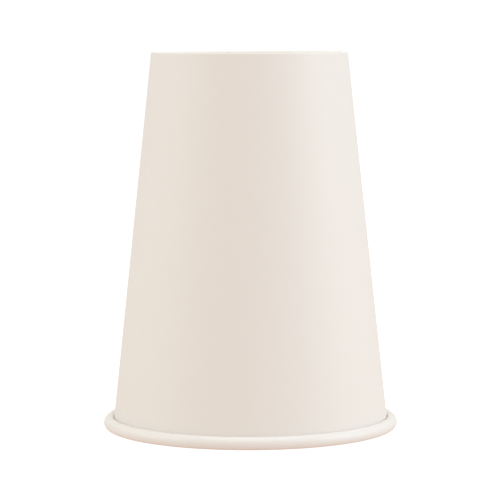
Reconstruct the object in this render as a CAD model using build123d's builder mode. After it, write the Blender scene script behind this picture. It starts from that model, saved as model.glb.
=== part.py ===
from build123d import *
from math import asin, atan2, cos, sin, sqrt, tan
import os

# A single wall paper cup for hot drinks, standing mouth down on its rolled lip.
# The origin is the centre of the mouth, on the plane that the lip rests on, and +Z
# runs up the axis to the foot. The side seam is at the back, towards +Y.

# The whole cup
cup_height = 114.8
rim_diameter = 90.0
foot_diameter = 59.7

# The two boards, coating included
wall_board = 0.38
base_board = 0.30

# The rolled lip is a curl of the wall's own board, turned outwards. It is drawn in flats,
# so many to each half turn.
curl_radius = 1.475
curl_gap = 0.1
curl_riser = 0.7
curl_tail = 0.9
roll_flats = 6

# The foot is a hem of the wall's board, folded in over the base's skirt
foot_recess = 7.0
hem_bevel = 0.25
seal_film = 0.03
flap_end_gap = 0.8
skirt_end_gap = 0.3
base_corner = 0.5

# The side seam: the outer ply lies over the inner one and ramps back to the wall. Pressing
# leaves both steps lower than the board is thick. The lap fades out at the foot's fold.
lap_width = 7.0
lap_step = 0.30
lap_ramp = 3.0
lap_fade = 1.5
lap_root = 0.05
notch_depth = 0.24
notch_mouth = 0.2

# Sections are drawn with the radius as X and the height as Y. The wall's middle line is
# the tangent from the foot to the lip's first half turn, and leans by this angle.
half_wall = wall_board / 2
half_base = base_board / 2
roll_centre = Vector(rim_diameter / 2 - curl_radius - half_wall, curl_radius + half_wall)
foot_point = Vector(foot_diameter / 2 - half_wall, cup_height)
span = foot_point - roll_centre
lean = atan2(-span.X, span.Y) - asin(curl_radius / span.length)
up_wall = Vector(-sin(lean), cos(lean))
out_of_wall = Vector(cos(lean), sin(lean))
roll_start = roll_centre - out_of_wall * curl_radius

# The second half turn of the curl is tighter than the first by half of the pitch
curl_pitch = wall_board + curl_gap

# The flap lies two films and the base's skirt inside the wall
skirt_inset = half_wall + seal_film + half_base
flap_inset = 2 * skirt_inset
fold_level = cup_height - half_wall
fade_level = cup_height - hem_bevel
disc_level = cup_height - foot_recess - half_base
corner_level = disc_level + base_corner
flap_end_level = corner_level + half_base + flap_end_gap
skirt_end_level = cup_height - wall_board - skirt_end_gap


def beside_wall(level, inset):
    """The point at a height on the line that runs inside the wall's middle line."""
    drop = (level - roll_start.Y) * tan(lean)
    return Vector(roll_start.X - drop - inset / cos(lean), level)


def half_roll(start, heading, radius):
    """Half a turn of the curl to the left, in flats whose ends lie on the arc. So wide a
    rim would need thousands more facets as a true arc, for a rounding too small to see."""
    centre = start + heading.rotate(Axis.Z, 90) * radius
    arm = start - centre
    steps = range(roll_flats + 1)
    return Polyline(*[centre + arm.rotate(Axis.Z, 180 * step / roll_flats) for step in steps])


def blank_line():
    """The blank's middle line, from the flap's end over the hem, down the wall and round
    the curl. The riser on its outer side makes the lip taller than it is wide."""
    flap_end = beside_wall(flap_end_level, flap_inset)
    fold = (beside_wall(fold_level, flap_inset), beside_wall(fold_level, 0))
    wall = Polyline(flap_end, *fold, roll_start)
    first_turn = half_roll(wall @ 1, wall % 1, curl_radius)
    riser = Line(first_turn @ 1, (first_turn @ 1) + up_wall * curl_riser)
    second_turn = half_roll(riser @ 1, riser % 1, curl_radius - curl_pitch / 2)
    return Line(second_turn @ 1, (second_turn @ 1) - up_wall * curl_tail)


def at_radius(across, radius):
    """The point on a circle about the axis that is this far across from the seam."""
    return (across, sqrt(radius**2 - across**2))


def lap_outline(face, side, step):
    """The outline of the ply that stands proud of a face by a step, with its ramp. The
    side is 1 where it stands away from the axis, and -1 where it stands towards it."""
    proud = face + side * step
    inner = face - side * half_wall
    middle = (lap_ramp - lap_width) / 2
    cut_edge = Line(at_radius(-lap_width, inner), at_radius(-lap_width, proud))
    ply = ThreePointArc(cut_edge @ 1, at_radius(-lap_width / 2, proud), at_radius(0, proud))
    ramp = Line(ply @ 1, at_radius(lap_ramp, face - side * lap_root))
    ramp_end = Line(ramp @ 1, at_radius(lap_ramp, inner))
    ThreePointArc(ramp_end @ 1, at_radius(middle, inner), cut_edge @ 0)


# The lap stands proud of the wall's outer face, from the crevice behind the lip, and of
# the flap's open face. On both it is full until it fades at the foot's fold.
crevice_level = roll_centre.Y + curl_riser + curl_radius / 2
laps = (
    (crevice_level, -half_wall, 1),
    (flap_end_level, flap_inset + half_wall, -1),
)

os.makedirs("parts", exist_ok=True)

with BuildPart() as side_wall:
    with BuildSketch(Plane.XZ):
        with BuildLine():
            blank_line()
        trace(line_width=wall_board)
        chamfer(vertices().group_by(Axis.Y)[-1], hem_bevel)
    revolve(axis=Axis.Z)
    for lap_start, inset, side in laps:
        fade_start = cup_height - lap_fade
        lap_levels = ((lap_start, lap_step), (fade_start, lap_step), (fade_level, -lap_root))
        for level, step in lap_levels:
            with BuildSketch(Plane.XY.offset(level)):
                with BuildLine():
                    lap_outline(beside_wall(level, inset).X, side, step)
                make_face()
        loft(ruled=True)
    # The inner ply's cut edge is a notch down the side that faces the drink
    notch_top = beside_wall(corner_level, half_wall)
    notch_end = beside_wall(crevice_level, half_wall)
    notch_start = Vector(0, notch_top.X, notch_top.Y)
    notch_run = Vector(0, notch_end.X, notch_end.Y) - notch_start
    with BuildSketch(Plane(notch_start, x_dir=(1, 0, 0), z_dir=notch_run)):
        with BuildLine():
            far_face = lap_root + lap_ramp**2 / (2 * notch_top.X)
            free_side = far_face + notch_mouth
            corners = ((0, -notch_depth), (lap_ramp, far_face), (lap_ramp, free_side), (0, free_side))
            Polyline(*corners, close=True)
        make_face()
    extrude(amount=notch_run.length, mode=Mode.SUBTRACT)

side_wall.part.label = "side_wall"
export_step(side_wall.part, "parts/side_wall.step")

# The base is a dish whose skirt turns up between the wall and the flap
with BuildPart() as base_disc:
    with BuildSketch(Plane.XZ):
        disc_edge = beside_wall(corner_level, skirt_inset + base_corner).X
        skirt_start = beside_wall(corner_level, skirt_inset)
        skirt_end = beside_wall(skirt_end_level, skirt_inset)
        with BuildLine():
            Polyline((0, disc_level), (disc_edge, disc_level), skirt_start, skirt_end)
        trace(line_width=base_board)
    revolve(axis=Axis.Z)

base_disc.part.label = "base_disc"
export_step(base_disc.part, "parts/base_disc.step")
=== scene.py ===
# A plain paper cup for hot drinks, standing mouth down on its rolled lip. Both pieces of
# board are made as the real ones are: a middle line drawn in section, spun about the axis
# and given the board's thickness. The side seam is a true overlap of the sheet.

from math import asin, atan2, cos, pi, radians, sin, tan

import bmesh
import bpy
from mathutils import Matrix, Vector


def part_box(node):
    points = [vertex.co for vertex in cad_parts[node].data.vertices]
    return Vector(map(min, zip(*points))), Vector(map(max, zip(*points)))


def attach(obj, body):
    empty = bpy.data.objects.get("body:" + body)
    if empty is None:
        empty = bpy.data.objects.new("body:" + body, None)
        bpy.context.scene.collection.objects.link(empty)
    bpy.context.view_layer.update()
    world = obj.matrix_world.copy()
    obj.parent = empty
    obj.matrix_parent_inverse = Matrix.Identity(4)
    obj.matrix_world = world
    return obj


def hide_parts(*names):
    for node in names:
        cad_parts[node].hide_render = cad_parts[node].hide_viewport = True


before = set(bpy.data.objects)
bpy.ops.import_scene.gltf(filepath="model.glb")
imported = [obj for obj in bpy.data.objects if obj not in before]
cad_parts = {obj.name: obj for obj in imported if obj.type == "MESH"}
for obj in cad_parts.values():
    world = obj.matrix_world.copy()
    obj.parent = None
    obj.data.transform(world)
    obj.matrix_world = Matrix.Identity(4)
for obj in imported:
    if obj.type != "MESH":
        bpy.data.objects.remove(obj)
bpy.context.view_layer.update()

# Sizes that the frame gives. The base's low face is the one that looks at the drink.
wall_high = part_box("side_wall")[1]
base_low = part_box("base_disc")[0]
cup_height = wall_high.z
rim_radius = wall_high.x
drink_level = base_low.z

# The foot, and the two boards with their coating
mm = 0.001
foot_radius = 29.85 * mm
wall_board = 0.38 * mm
base_board = 0.30 * mm

# The lip is a curl of the wall's own board: half a turn outwards, a short riser, a crest
# that is fuller than the first turn, and a tighter tuck back to the wall
curl_radius = 1.475 * mm
curl_riser = 0.2 * mm
crest_radius = 1.8 * mm
curl_gap = 0.03 * mm
curl_tail = 0.9 * mm
tuck_radius = 2 * curl_radius - wall_board - curl_gap - crest_radius

# The foot is a hem that folds over the base's skirt
hem_radius = 0.28 * mm
seal_film = 0.03 * mm
flap_end_gap = 0.8 * mm
skirt_end_gap = 0.3 * mm
base_corner_radius = 0.5 * mm

# The side seam is at the back. The inner ply starts to thin a little before the lap, and
# the outer ply ramps back to the wall behind it. Towards the foot's fold and the lip, both
# are pressed flush.
lap_width = 7.0 * mm
lap_ramp = 3.0 * mm
lap_lead_in = 2.0 * mm
lap_fade = 1.5 * mm
ply_gap = 0.003 * mm

# The share of its thickness that pressing leaves a ply, where the seam has room to stand
# proud and where it has none, and the room that there is inside the curl
ply_free = 0.89
ply_pressed = 0.50
curl_room = 0.3

# Near the seam, a column is as wide at every height as it is at this radius, so the lap
# doesn't narrow towards the foot. Past the reach, columns blend into equal angles.
seam_radius = 36.0 * mm
seam_reach = radians(18)
seam_blend = radians(20)

# The knurled wheel that presses the hem leaves shallow upright grooves in the flap
knurl_count = 120
knurl_depth = 0.09 * mm
knurl_margin = 0.9 * mm

# How finely the two boards are divided round the axis, and how near to each other the
# points at the base's centre become one
wall_columns = 474
lap_columns = 22
base_columns = 240
weld_distance = 0.001 * mm
about_axis = dict(cent=(0, 0, 0), axis=(0, 0, 1))

# The board's surface, in cells to the metre: a cloudiness from how its fibres settled, a
# slower drift, and the fibres themselves. Each has a share of the tone.
cloud_scale = 240.0
drift_scale = 28.0
fibre_scale = 2600.0
edge_fibre_scale = 3200.0
cloud_share = 0.5
drift_share = 0.3
fibre_share = 0.2
cloud_relief = 0.5
board_wave = 0.06 * mm
edge_fibre_height = 0.03 * mm

# The wall's middle line is the tangent from the foot to the lip's first half turn
half_wall = wall_board / 2
half_base = base_board / 2
roll_centre = Vector((rim_radius - curl_radius - half_wall, curl_radius + half_wall))
foot_point = Vector((foot_radius - half_wall, cup_height))
span = foot_point - roll_centre
lean = atan2(-span.x, span.y) - asin(curl_radius / span.length)
roll_start = roll_centre - curl_radius * Vector((cos(lean), sin(lean)))

# Levels and insets of the hem and the base
skirt_inset = half_wall + seal_film + half_base
flap_inset = 2 * skirt_inset
fold_level = cup_height - half_wall
disc_level = drink_level + half_base
corner_level = disc_level + base_corner_radius
flap_end_level = corner_level + half_base + flap_end_gap
skirt_end_level = cup_height - wall_board - skirt_end_gap


def beside_wall(level, inset):
    """The point at a height on the line that runs inside the wall's middle line."""
    drop = (level - roll_start.y) * tan(lean)
    return Vector((roll_start.x - drop - inset / cos(lean), level))


def ease(low, high, value):
    """0 below a range, 1 above it, and a smooth rise between."""
    share = min(max((value - low) / (high - low), 0), 1)
    return share * share * (3 - 2 * share)


class BoardPen:
    """Draws a board's middle line in the XZ plane, with the radius as X. Each point keeps
    how much room a second ply has there, and how deep the knurling is, both from 0 to 1."""

    def __init__(self, start, heading):
        self.mesh = bmesh.new()
        self.room = self.mesh.verts.layers.float.new("room")
        self.knurl = self.mesh.verts.layers.float.new("knurl")
        self.thickness = self.mesh.verts.layers.deform.verify()
        self.tip = self.mesh.verts.new((start.x, 0, start.y))
        self.heading = heading

    def mark(self, point, room, knurl):
        point[self.room] = room
        point[self.knurl] = knurl

    def run(self, length, steps=1, room=None, knurl=None):
        """Draws straight on, and brings the room and the knurling to new values."""
        old = (self.tip[self.room], self.tip[self.knurl])
        new = (old[0] if room is None else room, old[1] if knurl is None else knurl)
        ahead = Vector((cos(self.heading), 0, sin(self.heading)))
        for step in range(1, steps + 1):
            made = bmesh.ops.extrude_vert_indiv(self.mesh, verts=[self.tip])["verts"][0]
            made.co = self.tip.co + ahead * length / steps
            share = step / steps
            self.mark(made, *(a + (b - a) * share for a, b in zip(old, new)))
            self.tip = made

    def turn(self, angle, radius, steps, room=None):
        """Draws an arc to the left, or to the right where the angle is negative."""
        old = self.tip[self.room]
        new = old if room is None else room
        side = self.heading + (pi / 2 if angle > 0 else -pi / 2)
        centre = self.tip.co + radius * Vector((cos(side), 0, sin(side)))
        one_step = Matrix.Rotation(-angle / steps, 3, "Y")
        for step in range(1, steps + 1):
            made = bmesh.ops.extrude_vert_indiv(self.mesh, verts=[self.tip])["verts"][0]
            bmesh.ops.rotate(self.mesh, verts=[made], cent=centre, matrix=one_step)
            self.mark(made, old + (new - old) * step / steps, self.tip[self.knurl])
            self.tip = made
        self.heading += angle


def draw_wall_blank():
    """The blank's middle line, from the flap's end over the hem, down the wall and round
    the curl to its tucked end."""
    first_fold = pi / 2 + lean
    second_fold = pi / 2 - lean
    first_tangent = hem_radius * tan(first_fold / 2)
    second_tangent = hem_radius * tan(second_fold / 2)
    flap_end = beside_wall(flap_end_level, flap_inset)
    flap_top = beside_wall(fold_level, flap_inset)
    wall_top = beside_wall(fold_level, 0)
    flap_length = (flap_top - flap_end).length - first_tangent
    hem_width = (wall_top - flap_top).length - first_tangent - second_tangent
    wall_length = (roll_start - wall_top).length - second_tangent

    pen = BoardPen(flap_end, first_fold)
    pen.mark(pen.tip, room=1, knurl=0)
    pen.run(knurl_margin / 2)
    pen.run(knurl_margin / 2, steps=2, knurl=1)
    pen.run(flap_length - 2 * knurl_margin - lap_fade, steps=4)
    pen.run(knurl_margin, steps=3, knurl=0)
    pen.run(lap_fade, steps=4, room=0)
    pen.turn(-first_fold, hem_radius, steps=7)
    pen.run(hem_width)
    pen.turn(-second_fold, hem_radius, steps=6)
    pen.run(lap_fade, steps=4, room=1)
    pen.run(wall_length - 3 * lap_fade, steps=20)
    pen.run(2 * lap_fade, steps=4, room=0)
    pen.turn(pi, curl_radius, steps=18, room=curl_room)
    pen.run(curl_riser)
    pen.turn(pi / 2, crest_radius, steps=9)
    pen.turn(pi / 2, tuck_radius, steps=7)
    pen.run(curl_tail, steps=2)
    return pen


def largest(faces):
    return max(faces, key=lambda face: face.calc_area())


def face_the_wall_out(mesh):
    """Turns every face over if those of the upright wall look towards the axis."""
    mesh.normal_update()
    middle = cup_height / 2
    face = largest([f for f in mesh.faces if f.calc_center_median().z < middle])
    if face.normal.dot(face.calc_center_median()) < 0:
        bmesh.ops.reverse_faces(mesh, faces=mesh.faces)


def along_seam(angle, radius):
    """Keeps the lap as wide at the foot as at the lip: near the seam, an angle is that of
    the same length of arc at every height."""
    pull = 1 - ease(seam_reach, seam_reach + seam_blend, abs(angle))
    return angle * (1 + (seam_radius / radius - 1) * pull)


def press_plies(pen, main_points):
    """Thins both plies of the lap, lays the outer one over the inner one, and presses the
    knurling. A point's first deform weight is the share of the board's thickness left."""
    moves = []
    for point in pen.mesh.verts:
        radius = Vector(point.co.xy).length
        angle = atan2(point.co.x, point.co.y)
        ripple = 0.5 - 0.5 * cos(knurl_count * angle)
        angle = along_seam(angle, radius)
        across = angle * radius
        ply = wall_board * (ply_pressed + (ply_free - ply_pressed) * point[pen.room])
        inner_middle = (ply - wall_board) / 2
        if point in main_points:
            thinned = ease(-lap_width - lap_lead_in, -lap_width, across) if across <= 0 else 0
            board = wall_board + (ply - wall_board) * thinned
            middle = inner_middle * thinned
        else:
            ramp = ease(0, lap_ramp, across)
            board = ply + (wall_board - ply) * ramp
            middle = (inner_middle + ply + ply_gap) * (1 - ramp)
        groove = knurl_depth * point[pen.knurl] * ripple
        point[pen.thickness][0] = (board - groove) / wall_board
        place = Vector((radius * sin(angle), radius * cos(angle), point.co.z))
        moves.append((point, place + point.normal * (middle - groove / 2)))
    for point, place in moves:
        point.co = place
    pen.mesh.normal_update()


def wrap_wall(pen):
    """Spins the middle line round from behind the lap's ramp to the inner ply's cut edge,
    then back over the lap to the outer ply's, and presses both plies into place."""
    mesh = pen.mesh
    ramp_angle = lap_ramp / seam_radius
    lap_angle = lap_width / seam_radius
    behind_ramp = Matrix.Rotation(pi / 2 - ramp_angle, 3, "Z")
    bmesh.ops.rotate(mesh, verts=mesh.verts, cent=(0, 0, 0), matrix=behind_ramp)
    line = mesh.verts[:] + mesh.edges[:]
    bmesh.ops.spin(mesh, geom=line, angle=ramp_angle - 2 * pi, steps=wall_columns, **about_axis)
    main_points = set(mesh.verts)
    bmesh.ops.spin(mesh, geom=line, angle=ramp_angle + lap_angle, steps=lap_columns, **about_axis)
    bmesh.ops.recalc_face_normals(mesh, faces=mesh.faces)
    face_the_wall_out(mesh)
    press_plies(pen, main_points)


def draw_base():
    """The dish's middle line, from its centre over the corner and up the skirt."""
    corner_centre = beside_wall(corner_level, skirt_inset + base_corner_radius)
    skirt_end = beside_wall(skirt_end_level, skirt_inset)
    pen = BoardPen(Vector((0, disc_level)), 0)
    pen.run(corner_centre.x, steps=12)
    pen.turn(pi / 2 + lean, base_corner_radius, steps=8)
    pen.run((skirt_end.y - pen.tip.co.z) / cos(lean), steps=4)
    return pen


def spin_base(mesh):
    """Spins the dish right round, and closes its centre."""
    line = mesh.verts[:] + mesh.edges[:]
    bmesh.ops.spin(
        mesh, geom=line, angle=2 * pi, steps=base_columns, use_merge=True, **about_axis
    )
    bmesh.ops.remove_doubles(mesh, verts=mesh.verts, dist=weld_distance)
    bmesh.ops.recalc_face_normals(mesh, faces=mesh.faces)
    mesh.normal_update()
    if largest(mesh.faces).normal.z < 0:
        bmesh.ops.reverse_faces(mesh, faces=mesh.faces)


class Signal:
    """A socket in a material's nodes, so that the maths on it reads as an expression."""

    def __init__(self, tree, socket=None):
        self.tree = tree
        self.socket = socket

    def node(self, kind, inputs=None, output=0, **settings):
        """Adds a node: its settings first, then the values or links of its sockets."""
        made = self.tree.nodes.new(kind)
        for name, value in settings.items():
            setattr(made, name, value)
        for name, value in (inputs or {}).items():
            if isinstance(value, Signal):
                self.tree.links.new(value.socket, made.inputs[name])
            else:
                made.inputs[name].default_value = value
        return Signal(self.tree, made.outputs[output])

    def maths(self, operation, first, second):
        return self.node("ShaderNodeMath", {0: first, 1: second}, operation=operation)

    def mix(self, share, none, whole):
        """Mixes two colours. These are a Mix node's colour sockets, which go by number,
        because all its kinds of value share their names."""
        sockets = {0: share, 6: none, 7: whole}
        return self.node("ShaderNodeMix", sockets, output=2, data_type="RGBA")

    def __add__(self, other):
        return self.maths("ADD", self, other)

    def __radd__(self, other):
        return self.maths("ADD", other, self)

    def __sub__(self, other):
        return self.maths("SUBTRACT", self, other)

    def __rsub__(self, other):
        return self.maths("SUBTRACT", other, self)

    def __mul__(self, other):
        return self.maths("MULTIPLY", self, other)

    def __rmul__(self, other):
        return self.maths("MULTIPLY", other, self)


def new_material(name):
    """An empty node material, its shader, and a signal to write its maths with."""
    material = bpy.data.materials.new(name)
    material.use_nodes = True
    tree = material.node_tree
    return material, tree.nodes["Principled BSDF"], Signal(tree)


def feed(shader, socket, signal):
    signal.tree.links.new(signal.socket, shader.inputs[socket])


def cup_board(name, light, shade, roughness, roughness_spread, fibre_height):
    """White cup board: faint clouds and drift in its tone, a fine tooth, and slow waves."""
    material, shader, nodes = new_material(name)
    place = nodes.node("ShaderNodeTexCoord", output="Object")
    cloud_cells = {"Vector": place, "Scale": cloud_scale, "Detail": 4.0, "Roughness": 0.6}
    drift_cells = {"Vector": place, "Scale": drift_scale, "Detail": 2.0}
    fibre_cells = {"Vector": place, "Scale": fibre_scale, "Detail": 3.0, "Roughness": 0.7}
    clouds = nodes.node("ShaderNodeTexNoise", cloud_cells)
    drift = nodes.node("ShaderNodeTexNoise", drift_cells)
    fibres = nodes.node("ShaderNodeTexNoise", fibre_cells)
    tone = clouds * cloud_share + drift * drift_share + fibres * fibre_share
    feed(shader, "Base Color", nodes.mix(tone, shade, light))
    feed(shader, "Roughness", roughness + (fibres - 0.5) * roughness_spread)
    relief = {"Height": fibres + clouds * cloud_relief, "Distance": fibre_height, "Strength": 1.0}
    tooth = nodes.node("ShaderNodeBump", relief)
    waves = {"Height": drift, "Distance": board_wave, "Strength": 1.0, "Normal": tooth}
    feed(shader, "Normal", nodes.node("ShaderNodeBump", waves))
    return material


def raw_edge(name, light, shade):
    """The cut edge of the board, where the fibres show between the two coats."""
    material, shader, nodes = new_material(name)
    place = nodes.node("ShaderNodeTexCoord", output="Object")
    fibre_cells = {"Vector": place, "Scale": edge_fibre_scale, "Detail": 5.0}
    fibres = nodes.node("ShaderNodeTexNoise", fibre_cells)
    feed(shader, "Base Color", nodes.mix(fibres, shade, light))
    relief = {"Height": fibres, "Distance": edge_fibre_height}
    feed(shader, "Normal", nodes.node("ShaderNodeBump", relief))
    shader.inputs["Roughness"].default_value = 0.9
    shader.inputs["Specular IOR Level"].default_value = 0.25
    return material


outer_face = cup_board(
    "outer_board_face",
    light=(0.865, 0.805, 0.757, 1),
    shade=(0.835, 0.772, 0.722, 1),
    roughness=0.52,
    roughness_spread=0.12,
    fibre_height=0.006 * mm,
)
drink_face = cup_board(
    "drink_side_coating",
    light=(0.865, 0.808, 0.762, 1),
    shade=(0.842, 0.782, 0.735, 1),
    roughness=0.36,
    roughness_spread=0.06,
    fibre_height=0.004 * mm,
)
cut_edge = raw_edge("cut_board_edge", light=(0.80, 0.72, 0.64, 1), shade=(0.66, 0.57, 0.48, 1))


def board_piece(name, mesh, thickness, node):
    """Makes a board's middle surface into a piece: its outer face, its drink side and its
    cut edges each have their own finish."""
    data = bpy.data.meshes.new(name)
    mesh.to_mesh(data)
    mesh.free()
    piece = bpy.data.objects.new(name, data)
    bpy.context.scene.collection.objects.link(piece)
    for finish in (outer_face, drink_face, cut_edge):
        data.materials.append(finish)
    for face in data.polygons:
        face.use_smooth = True
    board = piece.modifiers.new("board", "SOLIDIFY")
    board.thickness = thickness
    board.offset = 0
    board.material_offset = 1
    board.material_offset_rim = 2
    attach(piece, "root")
    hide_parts(node)
    return piece


wall_pen = draw_wall_blank()
wrap_wall(wall_pen)
wrapped_wall = board_piece("wrapped_wall", wall_pen.mesh, wall_board, "side_wall")
pressed_ply = wrapped_wall.vertex_groups.new(name="pressed_ply")
wrapped_wall.modifiers["board"].vertex_group = pressed_ply.name

base_pen = draw_base()
spin_base(base_pen.mesh)
board_piece("dished_base", base_pen.mesh, base_board, "base_disc")


# The floor and the room. The camera sees both as plain white, and the cup gets only the
# light that they throw back on it.
floor_radius = 4.0
floor_sides = 96
floor_tone = (0.25, 0.25, 0.25, 1)
floor_glow = (0.58, 0.45, 0.38, 1)
floor_seen = (0.95, 0.95, 0.95, 1)
room_glow = (0.735, 0.73, 0.705, 1)
room_seen = (1.05, 1.05, 1.05, 1)


def glow(nodes, thrown, seen):
    """One colour for the light that is thrown on the cup, another for the camera to see."""
    camera_sees = nodes.node("ShaderNodeLightPath", output="Is Camera Ray")
    return nodes.mix(camera_sees, thrown, seen)


floor_mesh = bmesh.new()
bmesh.ops.create_circle(floor_mesh, cap_ends=True, radius=floor_radius, segments=floor_sides)
floor_data = bpy.data.meshes.new("pale_floor")
floor_mesh.to_mesh(floor_data)
floor_mesh.free()
floor = bpy.data.objects.new("pale_floor", floor_data)
bpy.context.scene.collection.objects.link(floor)
floor_white, floor_shader, floor_nodes = new_material("floor_white")
floor_shader.inputs["Base Color"].default_value = floor_tone
floor_shader.inputs["Roughness"].default_value = 0.9
floor_shader.inputs["Specular IOR Level"].default_value = 0.1
floor_shader.inputs["Emission Strength"].default_value = 1.0
feed(floor_shader, "Emission Color", glow(floor_nodes, floor_glow, floor_seen))
floor_data.materials.append(floor_white)

world = bpy.data.worlds.new("studio")
bpy.context.scene.world = world
world.use_nodes = True
background = world.node_tree.nodes["Background"]
feed(background, "Color", glow(Signal(world.node_tree), room_glow, room_seen))

# Three soft boxes, one at each side and one overhead
box_size = 0.9
side_distance = 1.1
side_forward = 0.25
side_height = 0.5
overhead_height = 1.3
cup_middle = Vector((0, 0, 0.055))


def soft_box(name, place, power, colour):
    """A square light that is aimed at the middle of the cup."""
    light = bpy.data.lights.new(name, "AREA")
    light.shape = "SQUARE"
    light.size = box_size
    light.energy = power
    light.color = colour
    lamp = bpy.data.objects.new(name, light)
    lamp.location = place
    lamp.rotation_mode = "QUATERNION"
    lamp.rotation_quaternion = (cup_middle - Vector(place)).to_track_quat("-Z", "Y")
    bpy.context.scene.collection.objects.link(lamp)


right_side = (side_distance, -side_forward, side_height)
left_side = (-side_distance, -side_forward, side_height)
overhead = (0, 0, overhead_height)
soft_box("right_box", right_side, power=5.8, colour=(0.65, 0.87, 1.0))
soft_box("left_box", left_side, power=3.3, colour=(0.74, 0.95, 1.0))
soft_box("overhead_box", overhead, power=4.8, colour=(1.0, 1.0, 1.0))

# The camera stands where the photograph was taken from, looking a little down. Its angles
# are in radians, and its lens and sensor in millimetres.
camera_distance = 0.7385
camera_height = 0.12119
camera_pitch = 0.0902
camera_roll = -0.0028
focal_length = 174.59
sensor_width = 36.0
view_depth = 20.0
lens = bpy.data.cameras.new("camera")
lens.lens = focal_length
lens.sensor_width = sensor_width
lens.clip_end = view_depth
camera = bpy.data.objects.new("camera", lens)
camera.matrix_world = (
    Matrix.Translation((0, -camera_distance, camera_height))
    @ Matrix.Rotation(pi / 2 - camera_pitch, 4, "X")
    @ Matrix.Rotation(camera_roll, 4, "Z")
)
bpy.context.scene.collection.objects.link(camera)
bpy.context.scene.camera = camera
bpy.context.scene.view_settings.view_transform = "Standard"
